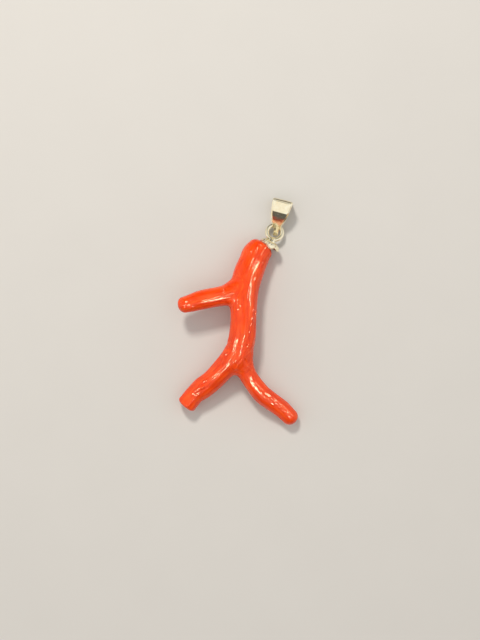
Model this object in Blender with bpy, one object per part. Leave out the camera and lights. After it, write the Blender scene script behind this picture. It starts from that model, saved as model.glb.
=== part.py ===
"""Red coral branch mounted as a pendant, lying on its back as it rests on a table.

Units are metres with +Z up. The origin is on the table under the middle of the outline, and
+Y runs from the two lower branches to the bail. Sizes and routes below are real sizes in
millimetres, scaled by MM as each mesh is made. The coral grew as one piece and is parted at
its forks. The cap is glued over its end, the ring is soldered to the cap, and the bail hangs
loose on the ring.
"""

import math

import bmesh
import bpy
from mathutils import Matrix, Vector

MM = 0.001
GAP = 0.3  # clearance between neighbouring solids

# Coral routes: x, y and z of the middle, and the radius, from the cap end downwards
STEM_ROUTE = (
    (5.66, 15.78, 3.25, 3.22),
    (4.55, 14.30, 3.54, 3.53),
    (3.80, 12.50, 3.75, 3.52),
    (2.56, 9.30, 4.40, 3.70),
    (1.75, 5.80, 5.20, 3.55),
    (1.50, 2.00, 5.90, 3.40),
    (1.41, -1.60, 6.20, 3.25),
    (1.16, -5.40, 6.20, 3.32),
    (0.60, -8.60, 5.80, 3.35),
    (0.00, -11.60, 5.20, 3.30),
    (-0.30, -13.15, 4.85, 2.96),
)
SIDE_ROUTE = (
    (1.00, 6.10, 5.20, 3.20),
    (-1.20, 4.77, 5.65, 2.92),
    (-3.30, 4.03, 6.00, 2.49),
    (-5.80, 3.54, 6.25, 2.40),
    (-9.00, 2.93, 6.45, 2.38),
    (-11.60, 2.20, 6.55, 2.22),
    (-13.19, 1.81, 6.60, 2.06),
)
LEFT_ROUTE = (
    (0.15, -9.60, 5.60, 3.28),
    (-1.36, -11.96, 5.00, 3.20),
    (-3.47, -14.24, 4.40, 2.87),
    (-6.20, -17.03, 3.65, 2.67),
    (-8.95, -19.25, 3.05, 2.71),
    (-10.90, -20.85, 2.66, 2.44),
    (-12.72, -23.02, 2.42, 2.42),
)
RIGHT_ROUTE = (
    (0.90, -9.20, 5.60, 3.00),
    (1.23, -12.50, 5.15, 2.70),
    (2.46, -15.63, 4.60, 2.26),
    (4.18, -18.42, 4.00, 2.24),
    (6.10, -20.70, 3.45, 2.37),
    (8.35, -22.37, 2.95, 2.29),
    (10.96, -24.25, 2.40, 2.17),
    (13.06, -26.34, 2.09, 2.08),
)
# Each end's dome: its height as a share of the radius, and a power that is lower for squarer shoulders
STEM_END = (0.50, 0.72)
SIDE_END = (0.85, 0.85)
LEFT_END = (0.41, 0.50)
RIGHT_END = (0.95, 0.90)
BURIED_END = (0.5, 1.0)

# Healed knots and lumps that stand a little proud of the polished skin: x, y, z, radius
KNOTS = (
    (0.30, 2.40, 8.35, 1.00),
    (-3.60, 4.70, 7.75, 1.00),
    (4.05, -0.60, 6.80, 0.90),
    (-8.60, -18.20, 4.90, 1.30),
    (-9.90, -20.80, 4.00, 1.10),
    (8.90, -21.90, 4.60, 0.90),
    (11.40, -24.10, 3.90, 0.90),
)

TUBE_STEP = 0.6
TUBE_SIDES = 24
DOME_RINGS = 5
DOME_CROWN = 0.35  # the small flat that closes a dome, in steps between its rings
CORAL_FACET = 0.80  # edge of the even facets that the grown skin is built from
CORAL_SMOOTHING = 3
CORAL_SOFTNESS = 0.5  # how far each smoothing pass moves the skin
KNOT_DIVISIONS = 3
SMOOTHING_LOSS = 0.09  # how far the smoothing draws a branch in, added back to its radius

# Cuts at the forks: a point on the plane, the way out along the branch, and the cutter's width
FORK_CUTS = {
    "side_branch": ((-3.00, 4.30, 5.90), (-0.96, -0.25, 0.10), 7.0),
    "left_branch": ((-3.25, -13.95, 4.50), (-0.70, -0.70, -0.18), 9.5),
    "right_branch": ((2.20, -15.10, 4.70), (0.62, -0.78, -0.16), 9.5),
}
CUT_DEPTH = 24.0

# Pendant fitting
BAIL_TURN = math.radians(-14.5)  # heading of ring and bail, from +Y
RING_MIDDLE = (9.27, 19.98, 1.75)
RING_RADIUS = 1.92
RING_WIRE = 0.53
RING_FACETS = 32
WIRE_FACETS = 12
RING_DIP = math.radians(-12.0)  # the ring slopes down to the table, away from the cap

CAP_MIDDLE = (7.76, 16.50, 2.92)
CAP_HEADING = (0.56, 0.83, 0.03)
CAP_RADIUS = 2.70
CAP_HEIGHT = 1.42
CAP_SHOULDER = 0.72  # under 1, the bell is fuller than an ellipse
CAP_PETALS = 6
CAP_TURN = math.radians(37.0)  # where the petals' middles stand, around the cap's own axis
CAP_CLEFT = 0.14  # depth of the clefts between petals at the rim, as a share of the radius
CLEFT_NARROWNESS = 6
CLEFT_REACH = 4  # how quickly the clefts fade from the rim to the crown
CAP_STEPS = 9
CAP_CROWN = 0.6  # the flat at the crown, in steps between the bell's rings
CAP_SIDES = 42
NECK_RADIUS = 0.68  # the solder between cap and ring
NECK_FOOT = 0.5  # where the solder starts inside the bell, as a share of its height

BAIL_SHEET = 0.4
# Side profile of the folded sheet's middle: distance out from the hinge, height over the table
BAIL_PROFILE = (
    (-2.28, 0.42),
    (-1.95, 0.24),
    (-1.40, 0.20),
    (0.00, 0.20),
    (2.00, 0.20),
    (4.00, 0.20),
    (5.72, 0.22),
    (6.07, 0.36),
    (6.18, 0.72),
    (6.20, 1.95),
    (6.20, 3.20),
    (6.20, 4.35),
    (6.16, 4.86),
    (6.00, 5.14),
    (5.72, 5.24),
    (5.32, 5.19),
    (4.57, 5.03),
    (3.87, 4.88),
    (3.39, 4.78),
    (3.17, 4.70),
    (2.95, 4.58),
    (2.27, 4.20),
    (1.67, 3.84),
    (1.00, 3.41),
    (0.35, 2.96),
    (-0.30, 2.49),
    (-1.00, 1.99),
    (-1.75, 1.49),
    (-2.28, 1.12),
    (-2.45, 0.75),
)
BAIL_WIDTHS = (
    (-2.70, 1.30),
    (-1.20, 1.32),
    (-0.60, 1.60),
    (0.10, 2.50),
    (1.07, 3.45),
    (1.87, 3.97),
    (2.67, 4.33),
    (5.47, 5.12),
    (6.40, 5.05),
)
BAIL_EDGE = 0.12
TONGUE_SHIFT = 0.30  # the tongue's tip is bent a little to the right of the panel's middle
TONGUE_ROOT = 0.6
TONGUE_LENGTH = 2.4
BAIL_STEP = 0.35

CORAL_RED = (0.85, 0.09, 0.03, 1.0)
CORAL_ROUGHNESS = 0.12
PALE_GOLD = (0.90, 0.82, 0.58, 1.0)
GOLD_ROUGHNESS = 0.15
SHARP_FOLD = math.radians(40.0)


def clear_scene():
    for obj in list(bpy.data.objects):
        bpy.data.objects.remove(obj, do_unlink=True)


def surface(name, colour, roughness, metallic):
    made = bpy.data.materials.new(name)
    made.use_nodes = True
    shader = made.node_tree.nodes["Principled BSDF"]
    shader.inputs["Base Color"].default_value = colour
    shader.inputs["Roughness"].default_value = roughness
    shader.inputs["Metallic"].default_value = metallic
    return made


def new_object(name, bm, material, guide=False):
    """Links a mesh as an object. A guide only shapes other objects and isn't part of the model."""
    bmesh.ops.recalc_face_normals(bm, faces=bm.faces)
    mesh = bpy.data.meshes.new(name)
    bm.to_mesh(mesh)
    bm.free()
    mesh.shade_smooth()
    mesh.materials.append(material)
    made = bpy.data.objects.new(name, mesh)
    bpy.context.scene.collection.objects.link(made)
    if guide:
        made.hide_render = True
        made.display_type = "WIRE"
    return made


def boolean(obj, operation, cutter):
    step = obj.modifiers.new(cutter.name, "BOOLEAN")
    step.operation = operation
    step.object = cutter


def along(route, step, closed=False):
    """Points about step apart on a smooth curve through the route's own points."""
    knots = [Vector(point) for point in route]
    if closed:
        knots = [knots[-1], *knots, knots[0], knots[1]]
    else:
        knots = [2 * knots[0] - knots[1], *knots, 2 * knots[-1] - knots[-2]]
    points = []
    for a, b, c, d in zip(knots, knots[1:], knots[2:], knots[3:]):
        count = max(1, round((c - b).length / step))
        for i in range(count):
            t = i / count
            bend = (2 * a - 5 * b + 4 * c - d) * t**2 + (3 * b - a - 3 * c + d) * t**3
            points.append(0.5 * (2 * b + (c - a) * t + bend))
    if not closed:
        points.append(knots[-2])
    return points


def between(table, x):
    """Reads a table of (x, value) pairs with straight lines between them."""
    for (x0, v0), (x1, v1) in zip(table, table[1:]):
        if x <= x1:
            return v0 + (v1 - v0) * max(0.0, (x - x0) / (x1 - x0))
    return table[-1][1]


def round_ring(bm, middle, heading, radius):
    """A ring of vertices around a heading that is never close to vertical."""
    side = heading.cross(Vector((0, 0, 1))).normalized()
    up = side.cross(heading).normalized()
    ring = []
    for i in range(TUBE_SIDES):
        angle = math.tau * i / TUBE_SIDES
        spoke = math.cos(angle) * side + math.sin(angle) * up
        ring.append(bm.verts.new((middle + radius * spoke) * MM))
    return ring


def bridge(bm, rings, closed=False):
    pairs = list(zip(rings, rings[1:]))
    if closed:
        pairs.append((rings[-1], rings[0]))
    for a, b in pairs:
        for i, corner in enumerate(a):
            j = (i + 1) % len(a)
            bm.faces.new((corner, a[j], b[j], b[i]))
    if not closed:
        bm.faces.new(rings[0])
        bm.faces.new(rings[-1])


def dome(middle, heading, radius, tip, square):
    """Rings that close a branch's end, tip times its radius high."""
    rings = []
    for i in range(1, DOME_RINGS + 1):
        angle = 0.5 * math.pi * i / (DOME_RINGS + DOME_CROWN)
        height = tip * radius * math.sin(angle)
        rings.append((middle + height * heading, heading, radius * math.cos(angle) ** square))
    return rings


def branch(bm, route, start, end, grow=0.0):
    """A closed round branch along a route. start and end are (tip, square) for the two domes."""
    points = along(route, TUBE_STEP)
    middles = [point.xyz for point in points]
    headings = [(b - a).normalized() for a, b in zip(middles, middles[1:])]
    headings.append(headings[-1])
    radii = [point.w + SMOOTHING_LOSS + grow for point in points]
    first = dome(middles[0], -headings[0], radii[0], *start)
    last = dome(middles[-1], headings[-1], radii[-1], *end)
    stations = [(m, -h, r) for m, h, r in reversed(first)]
    stations += list(zip(middles, headings, radii)) + last
    bridge(bm, [round_ring(bm, *station) for station in stations])


def coral_skin(material):
    """The whole coral as one even mesh: overlapping branches and knots grown into one skin."""
    bm = bmesh.new()
    branch(bm, STEM_ROUTE, STEM_END, BURIED_END)
    branch(bm, SIDE_ROUTE, BURIED_END, SIDE_END)
    branch(bm, LEFT_ROUTE, BURIED_END, LEFT_END)
    branch(bm, RIGHT_ROUTE, BURIED_END, RIGHT_END)
    for x, y, z, radius in KNOTS:
        place = Matrix.Translation(Vector((x, y, z)) * MM)
        bmesh.ops.create_icosphere(bm, subdivisions=KNOT_DIVISIONS, radius=radius * MM, matrix=place)
    skin = new_object("coral_skin", bm, material, guide=True)
    grown = skin.modifiers.new("Grown together", "REMESH")
    grown.mode = "VOXEL"
    grown.voxel_size = CORAL_FACET * MM
    polished = skin.modifiers.new("Polished", "SMOOTH")
    polished.factor = CORAL_SOFTNESS
    polished.iterations = CORAL_SMOOTHING
    return skin


def cutting_box(name, cut, back, material):
    """A box whose near face is the fork's cut, moved back along the branch by back."""
    point, outward, width = cut
    heading = Vector(outward).normalized()
    bm = bmesh.new()
    bmesh.ops.create_cube(bm, size=1.0)
    size = Matrix.Diagonal((width * MM, width * MM, CUT_DEPTH * MM, 1.0))
    turn = heading.to_track_quat("Z", "Y").to_matrix().to_4x4()
    middle = Vector(point) + heading * (CUT_DEPTH / 2 - back)
    bmesh.ops.transform(bm, matrix=Matrix.Translation(middle * MM) @ turn @ size, verts=bm.verts)
    return new_object(name, bm, material, guide=True)


def coral(material):
    """Four solids: the stem through both forks, and the three branches that leave it."""
    skin = coral_skin(material)
    grown = skin.evaluated_get(bpy.context.evaluated_depsgraph_get())
    mesh = bpy.data.meshes.new_from_object(grown)

    def node(name):
        made = bpy.data.objects.new(name, mesh.copy())
        bpy.context.scene.collection.objects.link(made)
        return made

    stem = node("stem")
    for name, cut in FORK_CUTS.items():
        keep = cutting_box(f"{name}_keep", cut, -GAP / 2, material)
        clear = cutting_box(f"{name}_clear", cut, GAP / 2, material)
        boolean(node(name), "INTERSECT", keep)
        boolean(stem, "DIFFERENCE", clear)


def frame_at(middle, heading):
    """A matrix with Z along the heading and Y as near to up as it can be."""
    z = Vector(heading).normalized()
    x = Vector((0, 0, 1)).cross(z).normalized()
    turn = Matrix((x, z.cross(x), z)).transposed().to_4x4()
    return Matrix.Translation(Vector(middle) * MM) @ turn


def cap(material):
    """A six-petalled bell glued over the coral's end, hollowed to the coral's own shape."""
    bm = bmesh.new()
    rings = []
    for step in range(CAP_STEPS + 1):
        angle = 0.5 * math.pi * (step + CAP_CROWN) / (CAP_STEPS + CAP_CROWN)
        height = CAP_HEIGHT * math.cos(angle) ** CAP_SHOULDER
        reach = CAP_RADIUS * math.sin(angle) ** CAP_SHOULDER
        ring = []
        for i in range(CAP_SIDES):
            turn = math.tau * i / CAP_SIDES
            cleft = abs(math.sin(0.5 * CAP_PETALS * (turn - CAP_TURN))) ** CLEFT_NARROWNESS
            lobe = reach * (1 - CAP_CLEFT * cleft * math.sin(angle) ** CLEFT_REACH)
            spot = Vector((lobe * math.cos(turn), lobe * math.sin(turn), height))
            ring.append(bm.verts.new(spot * MM))
        rings.append(ring)
    bridge(bm, rings)
    made = new_object("cap", bm, material)
    made.matrix_world = frame_at(CAP_MIDDLE, CAP_HEADING)
    bm = bmesh.new()
    branch(bm, STEM_ROUTE, STEM_END, BURIED_END, grow=GAP)
    boolean(made, "UNION", neck(material))
    boolean(made, "DIFFERENCE", new_object("coral_room", bm, material, guide=True))
    boolean(made, "DIFFERENCE", torus("ring_room", RING_WIRE + GAP, material, guide=True))


def neck(material):
    """The solder's round neck, from inside the bell to the near side of the ring's wire."""
    foot = Vector(CAP_MIDDLE) + NECK_FOOT * CAP_HEIGHT * Vector(CAP_HEADING).normalized()
    run = near_wire() - foot
    bm = bmesh.new()
    bmesh.ops.create_cone(
        bm,
        cap_ends=True,
        segments=TUBE_SIDES,
        radius1=NECK_RADIUS * MM,
        radius2=NECK_RADIUS * MM,
        depth=run.length * MM,
        matrix=frame_at(foot + run / 2, run),
    )
    return new_object("neck", bm, material, guide=True)


def torus(name, wire, material, guide=False):
    """The ring's own circle with a wire of any radius."""
    bpy.ops.mesh.primitive_torus_add(
        major_radius=RING_RADIUS * MM,
        minor_radius=wire * MM,
        major_segments=RING_FACETS,
        minor_segments=WIRE_FACETS,
    )
    made = bpy.context.object
    made.name = made.data.name = name
    place = Matrix.Translation(Vector(RING_MIDDLE) * MM)
    turn = Matrix.Rotation(BAIL_TURN, 4, "Z") @ Matrix.Rotation(RING_DIP, 4, "X")
    made.matrix_world = place @ turn
    made.data.materials.append(material)
    made.data.shade_smooth()
    made.hide_render = guide
    made.display_type = "WIRE" if guide else "TEXTURED"
    return made


def wire_offset():
    """From the ring's middle to the middle of its wire on the side away from the cap."""
    level = RING_RADIUS * math.cos(RING_DIP)
    drop = RING_RADIUS * math.sin(RING_DIP)
    return Vector((-level * math.sin(BAIL_TURN), level * math.cos(BAIL_TURN), drop))


def near_wire():
    return Vector(RING_MIDDLE) - wire_offset()


def hinge_point():
    return Vector(RING_MIDDLE) + wire_offset()


def bail(material):
    """A tapered sheet folded into a loop: flat back, raised front and a narrow tongue."""
    hinge = hinge_point()
    points = along(BAIL_PROFILE, BAIL_STEP, closed=True)
    half_sheet = BAIL_SHEET / 2
    bm = bmesh.new()
    rings = []
    for before, here, after in zip([points[-1], *points], points, [*points[1:], points[0]]):
        run = (after - before).normalized()
        outward = Vector((run.y, -run.x))
        half = between(BAIL_WIDTHS, here.x) / 2
        sway = TONGUE_SHIFT * min(1.0, max(0.0, (TONGUE_ROOT - here.x) / TONGUE_LENGTH))
        corners = (
            (half - BAIL_EDGE, half_sheet),
            (half, half_sheet - BAIL_EDGE),
            (half, -half_sheet + BAIL_EDGE),
            (half - BAIL_EDGE, -half_sheet),
            (BAIL_EDGE - half, -half_sheet),
            (-half, -half_sheet + BAIL_EDGE),
            (-half, half_sheet - BAIL_EDGE),
            (BAIL_EDGE - half, half_sheet),
        )
        section = []
        for across, thick in corners:
            spot = here + thick * outward
            section.append(bm.verts.new(Vector((across + sway, spot.x, spot.y - hinge.z)) * MM))
        rings.append(section)
    bridge(bm, rings, closed=True)
    made = new_object("bail", bm, material)
    made.data.set_sharp_from_angle(angle=SHARP_FOLD)
    made.location = hinge * MM
    made.rotation_euler = (0.0, 0.0, BAIL_TURN)


def main():
    clear_scene()
    red = surface("polished coral", CORAL_RED, CORAL_ROUGHNESS, 0.0)
    gold = surface("pale gold", PALE_GOLD, GOLD_ROUGHNESS, 1.0)
    coral(red)
    cap(gold)
    torus("ring", RING_WIRE, gold)
    bail(gold)


main()
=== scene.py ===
"""Looks of the red coral branch pendant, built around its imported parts.

The coral is one continuous polished skin grown over the same routes as the solids, in millimetres
until a mesh is made. The cap, the soldered ring and the bail are fine sheet and wire pieces in the
places of their solids. The table, lights and camera follow.
"""

import math

import bmesh
import bpy
import numpy as np
from mathutils import Matrix, Vector


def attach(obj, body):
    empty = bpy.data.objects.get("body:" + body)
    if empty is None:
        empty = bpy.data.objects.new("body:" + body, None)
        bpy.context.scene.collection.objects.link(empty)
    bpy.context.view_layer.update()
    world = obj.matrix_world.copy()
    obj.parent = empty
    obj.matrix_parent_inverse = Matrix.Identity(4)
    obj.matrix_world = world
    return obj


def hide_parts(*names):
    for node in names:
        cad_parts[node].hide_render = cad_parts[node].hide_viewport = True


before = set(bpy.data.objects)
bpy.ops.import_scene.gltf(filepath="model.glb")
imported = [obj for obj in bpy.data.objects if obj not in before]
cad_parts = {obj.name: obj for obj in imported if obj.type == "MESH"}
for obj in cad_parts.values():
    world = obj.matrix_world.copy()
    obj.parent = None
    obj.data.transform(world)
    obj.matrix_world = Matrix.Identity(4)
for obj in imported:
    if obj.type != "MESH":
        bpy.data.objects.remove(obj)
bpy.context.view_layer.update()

MM = 0.001

# Coral routes, as in the solids: x, y and z of the middle, and the radius, in millimetres
STEM_ROUTE = (
    (5.66, 15.78, 3.25, 3.22), (4.55, 14.30, 3.54, 3.53), (3.80, 12.50, 3.75, 3.52),
    (2.56, 9.30, 4.40, 3.70), (1.75, 5.80, 5.20, 3.55), (1.50, 2.00, 5.90, 3.40),
    (1.41, -1.60, 6.20, 3.25), (1.16, -5.40, 6.20, 3.32), (0.60, -8.60, 5.80, 3.35),
    (0.00, -11.60, 5.20, 3.30), (-0.30, -13.15, 4.85, 2.96),
)
SIDE_ROUTE = (
    (1.00, 6.10, 5.20, 3.20), (-1.20, 4.77, 5.65, 2.92), (-3.30, 4.03, 6.00, 2.49),
    (-5.80, 3.54, 6.25, 2.40), (-9.00, 2.93, 6.45, 2.38), (-11.60, 2.20, 6.55, 2.22),
    (-13.19, 1.81, 6.60, 2.06),
)
LEFT_ROUTE = (
    (0.15, -9.60, 5.60, 3.28), (-1.36, -11.96, 5.00, 3.20), (-3.47, -14.24, 4.40, 2.87),
    (-6.20, -17.03, 3.65, 2.67), (-8.95, -19.25, 3.05, 2.71), (-10.90, -20.85, 2.66, 2.44),
    (-12.72, -23.02, 2.42, 2.42),
)
RIGHT_ROUTE = (
    (0.90, -9.20, 5.60, 3.00), (1.23, -12.50, 5.15, 2.70), (2.46, -15.63, 4.60, 2.26),
    (4.18, -18.42, 4.00, 2.24), (6.10, -20.70, 3.45, 2.37), (8.35, -22.37, 2.95, 2.29),
    (10.96, -24.25, 2.40, 2.17), (13.06, -26.34, 2.09, 2.08),
)
# Each end's dome: its height as a share of the radius, and a power, lower for squarer shoulders
STEM_END = (0.50, 0.72)
SIDE_END = (0.85, 0.85)
LEFT_END = (0.41, 0.50)
RIGHT_END = (0.95, 0.90)
BURIED_END = (0.5, 1.0)

# How the branches' skins run together
ROUTE_STEP = 0.15  # between the samples along a branch
WEB = 1.6  # how wide the skin fills in where branches meet
WEB_PARTING = 0.8  # how far apart two skins must face for the whole web
WEB_LEAST = 0.02  # the share of the web that is left where they face the same way
SHARE_BLEND = 0.45  # how softly one branch's ribs and grain give way to the next one's
SHARE_REACH = (-3, 6)  # distances outside a branch between which that changes
SAMPLE_BLOCK = 20000  # points measured at a time, to save memory

# The mesh that the skin starts from, and how it settles on the skin
TUBE_SIDES = 32
TUBE_STRIDE = 3  # samples from one ring of the tube to the next
DOME_RINGS = 6
DOME_CLOSE = 6.3  # a little over the count of rings, so that a dome ends in a small flat
SKIN_FACET = 0.1455  # edge of the skin's even facets
EVEN_FACTOR = 0.5  # how far each round evens the grown facets out
EVEN_ROUNDS = 4
SKIN_ROUNDS = 4
SKIN_PULL = 0.5  # the furthest that one round moves a point
SKIN_LOWEST = 0.02  # the lowest that the skin comes above the table

# Growth ribs and swells: height, how closely they stand around a branch, and their length
RIBS = ((0.100, 1.3, 6.0), (0.060, 3.2, 5.0), (0.026, 7.0, 4.0), (0.018, 2.5, 1.3))
RIB_TWIST = 0.02  # radians in each millimetre along
RIB_FADE = 0.85  # how much of the ribs is gone on a branch's end
RIB_FADE_REACH = 0.35  # how far over the end that takes, in radii
SEED_STEP = 11  # between the branches' noise seeds
GRAIN_STEP = 40.0  # keeps one branch's grain apart from the next one's

# Marks on the polished skin, seen from above: x, y, length, width, heading in degrees, height
MARKS = (
    (0.10, 2.60, 1.10, 0.55, 70, 0.16), (0.45, 1.30, 0.70, 0.45, 80, 0.12),
    (-0.05, 3.20, 0.60, 0.40, 60, 0.10), (-3.60, 5.20, 0.90, 0.28, 75, 0.10),
    (-3.30, 4.40, 0.55, 0.25, 70, 0.07), (3.80, 0.30, 0.45, 0.35, 80, 0.10),
    (4.35, -0.35, 0.50, 0.35, 80, 0.12), (3.60, -1.60, 0.45, 0.35, 85, 0.09),
    (4.05, -0.75, 0.35, 0.30, 0, -0.10), (-8.35, -17.40, 0.70, 0.45, 40, 0.11),
    (-8.90, -18.95, 0.80, 0.50, 20, 0.15), (-9.95, -18.40, 0.60, 0.40, 60, 0.08),
    (-7.60, -18.80, 0.60, 0.35, 50, -0.08), (8.45, -21.85, 0.60, 0.35, -35, 0.10),
    (8.70, -23.05, 0.45, 0.35, -35, 0.09), (10.05, -23.10, 0.50, 0.35, -40, 0.09),
    (10.40, -23.75, 0.45, 0.35, -40, 0.08), (11.60, -25.00, 0.60, 0.40, -45, 0.08),
    (6.25, -19.55, 0.70, 0.30, -50, 0.06), (-13.50, 1.75, 0.32, 0.30, 0, 0.07),
    (-12.90, 2.45, 0.30, 0.28, 0, 0.07), (-12.35, 1.75, 0.34, 0.30, 0, 0.07),
    (-11.15, 1.20, 0.40, 0.25, 10, 0.05), (4.85, 16.00, 0.50, 0.40, 60, 0.07),
    (6.95, 16.10, 0.40, 0.35, 60, 0.06), (2.30, 3.90, 0.45, 0.30, 80, 0.06),
    (2.45, 3.10, 0.50, 0.22, 85, -0.05),
)
MARK_SPREAD = 0.6  # share of its length and width over which a mark falls off
MARK_UPPER = 2  # marks are whole where the skin faces up by more than one over this

# Narrow polished facets that catch a light, seen from above: x, y, length, width, heading in degrees
FACETS = (
    (4.84, 15.91, 0.50, 0.36, 60), (6.93, 16.10, 0.55, 0.30, 60), (3.47, 14.75, 0.50, 0.30, 72),
    (3.56, 12.43, 1.74, 0.21, 87), (6.77, 14.00, 1.62, 0.14, 63), (3.97, 9.91, 3.07, 0.19, 67),
    (4.18, 8.20, 0.50, 0.40, 70), (6.13, 12.11, 0.45, 0.24, 68), (2.55, 5.44, 1.12, 0.20, 76),
    (3.24, 5.24, 3.46, 0.14, 89), (1.65, 11.40, 1.64, 0.16, 80), (2.05, 9.09, 0.55, 0.22, 75),
    (-4.95, 3.07, 6.07, 0.36, 10), (-1.14, 4.90, 1.20, 0.16, 19), (-3.55, 5.40, 0.42, 0.24, 60),
    (-3.69, 4.46, 0.42, 0.24, 60), (-13.37, 1.69, 0.45, 0.42, 0), (-12.23, 1.69, 0.45, 0.42, 20),
    (-12.75, 2.38, 0.42, 0.40, 0), (-11.03, 1.17, 0.40, 0.26, 15), (-0.08, 2.89, 0.50, 0.34, 60),
    (0.44, 1.53, 0.48, 0.34, 80), (0.02, 0.54, 0.44, 0.30, 80), (3.75, 0.30, 0.42, 0.30, 85),
    (4.35, -0.39, 0.38, 0.26, 85), (3.58, -1.61, 0.55, 0.32, 85), (3.28, -3.16, 0.50, 0.22, 85),
    (1.52, -6.35, 2.23, 0.22, 77), (2.78, -5.08, 1.57, 0.16, 83), (-0.59, -8.34, 3.13, 0.20, 60),
    (2.27, -8.60, 0.45, 0.24, 80), (0.28, -12.77, 1.94, 0.16, 63), (2.43, -13.25, 2.90, 0.16, -64),
    (-2.78, -10.54, 0.45, 0.30, 50), (-3.90, -12.54, 1.02, 0.18, 61), (-2.96, -13.82, 1.49, 0.27, 53),
    (-4.70, -15.83, 0.50, 0.30, 50), (-5.71, -17.13, 1.18, 0.16, 49), (-8.30, -17.36, 0.50, 0.34, 25),
    (-8.87, -18.88, 0.46, 0.34, 25), (-7.42, -16.25, 0.44, 0.26, 40), (-10.06, -20.25, 0.40, 0.26, 45),
    (3.49, -16.63, 0.46, 0.30, -70), (4.81, -17.21, 1.14, 0.14, -56), (6.21, -19.46, 0.93, 0.20, -54),
    (7.29, -20.70, 0.40, 0.24, -45), (8.39, -21.77, 0.46, 0.34, -40), (8.67, -23.00, 0.44, 0.30, -40),
    (9.99, -23.01, 0.44, 0.34, -40), (10.35, -23.72, 0.42, 0.28, -40), (11.58, -24.96, 0.46, 0.34, -45),
    (12.82, -26.43, 0.40, 0.26, -50),
)
FACET_ROUNDS = 2
FACET_UPPER = 3  # facets are whole where the skin faces up by more than one over this
SHORT_FACET = 0.6  # shorter facets are flat both ways
# A facet fades out at this share of its length or width, and this much further, by this power
FACET_FADE_ALONG = (0.5, 0.25, 6)
FACET_FADE_ACROSS = (0.65, 0.05, 4)
FACET_EDGE = 4.0  # the fade beyond which a facet leaves the skin alone
STRIP_MIDDLE = (0.1, 0.9)  # the part of a strip lamp that a facet may be turned to
STRIP_SHOWN = (0.05, 0.95)  # the part that may show along a facet
STRIP_RUN = 0.02  # under this run of slope along a facet, a strip lamp lies across it
SKIN_TOP = 7.0  # about how high the upper skin lies

# The camera, and what the lamps aim at. Places are in millimetres
CAMERA_PLACE = np.array((0.5375, -2.05, 382.3))
CAMERA_LENS = 85.0
CAMERA_SENSOR = 36.0
CAMERA_CLIP = (0.01, 10.0)  # metres
LAMP_AIM = np.array((0.0, -2.0, 4.0))
# Strip lamps, placed so that they show in the streaks of the polish: both ends, and their strength
LAMPS = {
    "low_strip": ((-8, -197, 467), (176, -94, 470), 1.0),
    "top_strip": ((36, 230, 456), (35, 376, 351), 0.9),
    "right_strip": ((360, 165, 323), (373, 51, 342), 0.9),
    "left_strip": ((-298, -54, 408), (-388, -111, 309), 1.0),
    "right_leg_lamp": ((328, 229, 297), (405, 101, 283), 0.55),
    "left_leg_lamp": ((-219, -185, 425), (-182, -267, 402), 0.85),
}
LAMP_WIDTH = 0.026  # metres
LAMP_POWER = 190.0  # watts from each square metre of a strip lamp
STRIP_COLOUR = (1.0, 0.88, 0.56)
# The light that casts the main shadow and that the polish doesn't show
SOFT_PLACE = np.array((-107.0, 327.0, 431.0))
SOFT_SIZE = 0.09  # metres
SOFT_WATTS = 1.95
SOFT_COLOUR = (1.0, 0.95, 0.87)

# The ring, nearly as in the solids
BAIL_TURN = math.radians(-14.5)
RING_MIDDLE = np.array((9.27, 19.98, 1.75))
RING_RADIUS = 1.92
RING_WIRE = 0.515  # a little under the solid's, so that the swung bail clears it
RING_DIP = math.radians(-12.0)
# Level directions across the bail and along it, and the ring's own along its plane and out of it
ACROSS = np.array((math.cos(BAIL_TURN), math.sin(BAIL_TURN), 0.0))
LEVEL = np.array((-math.sin(BAIL_TURN), math.cos(BAIL_TURN), 0.0))
RING_AHEAD = math.cos(RING_DIP) * LEVEL + np.array((0.0, 0.0, math.sin(RING_DIP)))
RING_OUT = np.cross(ACROSS, RING_AHEAD)
# The ring's flared neck of solder
NECK_RISE = 1.145088  # how far up the bell's axis its foot is
NECK_WAIST = 0.56  # radius at the ring
NECK_FLARE = 0.50  # how much wider it is at its foot
SOLDER_FILLET = 0.38  # how wide the solder fills in against the wire
# Rough tube that the neck grows from: share of its length, how far on from there, and radius
NECK_STATIONS = (
    (0.0, -1.10, 0.25), (0.0, -0.90, 0.75), (0.0, -0.50, 1.05), (0.0, 0.00, 1.10),
    (0.35, 0.00, 0.80), (0.7, 0.00, 0.60), (1.0, 0.00, 0.55), (1.0, 0.30, 0.30),
)
NECK_SIDES = 24
RING_STEPS = (64, 20)  # around the ring, and around its wire
RING_FACET = 0.06  # edge of the ring's even facets
# How the grown ring settles on its true surface
SETTLE_ROUNDS = 4
SETTLE_STEP = 0.004
SETTLE_PULL = 0.2

# The cap, on the same bell as in the solids
CAP_MIDDLE = np.array((7.76, 16.50, 2.92))
CAP_HEADING = np.array((0.56, 0.83, 0.03))
CAP_RADIUS = 2.70
CAP_HEIGHT = 1.42
CAP_SHOULDER = 0.72
CAP_PETALS = 6
CAP_TURN = math.radians(37.0)
CAP_SHEET = 0.20
CAP_CLEAR = 0.10  # between the sheet and the coral
CAP_GRID = (288, 64)  # around the cap, and from its crown to its rim
CAP_CROWN = 0.04  # where the crown's small flat starts; places run from 0 there to 1 at the rim
# The cap's two odd sides, as half their angles in radians. The right one stands free of the coral
CAP_RIGHT = 1.10
CAP_LEFT = 0.60
# The rim's clefts, the wave of each petal's edge and the longer left side, as shares of the bell
NOTCH_DEPTH = 0.13
NOTCH_WIDTH = 0.10  # radians
PETAL_WAVE = 0.015
LEFT_REACH = 0.10
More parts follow.
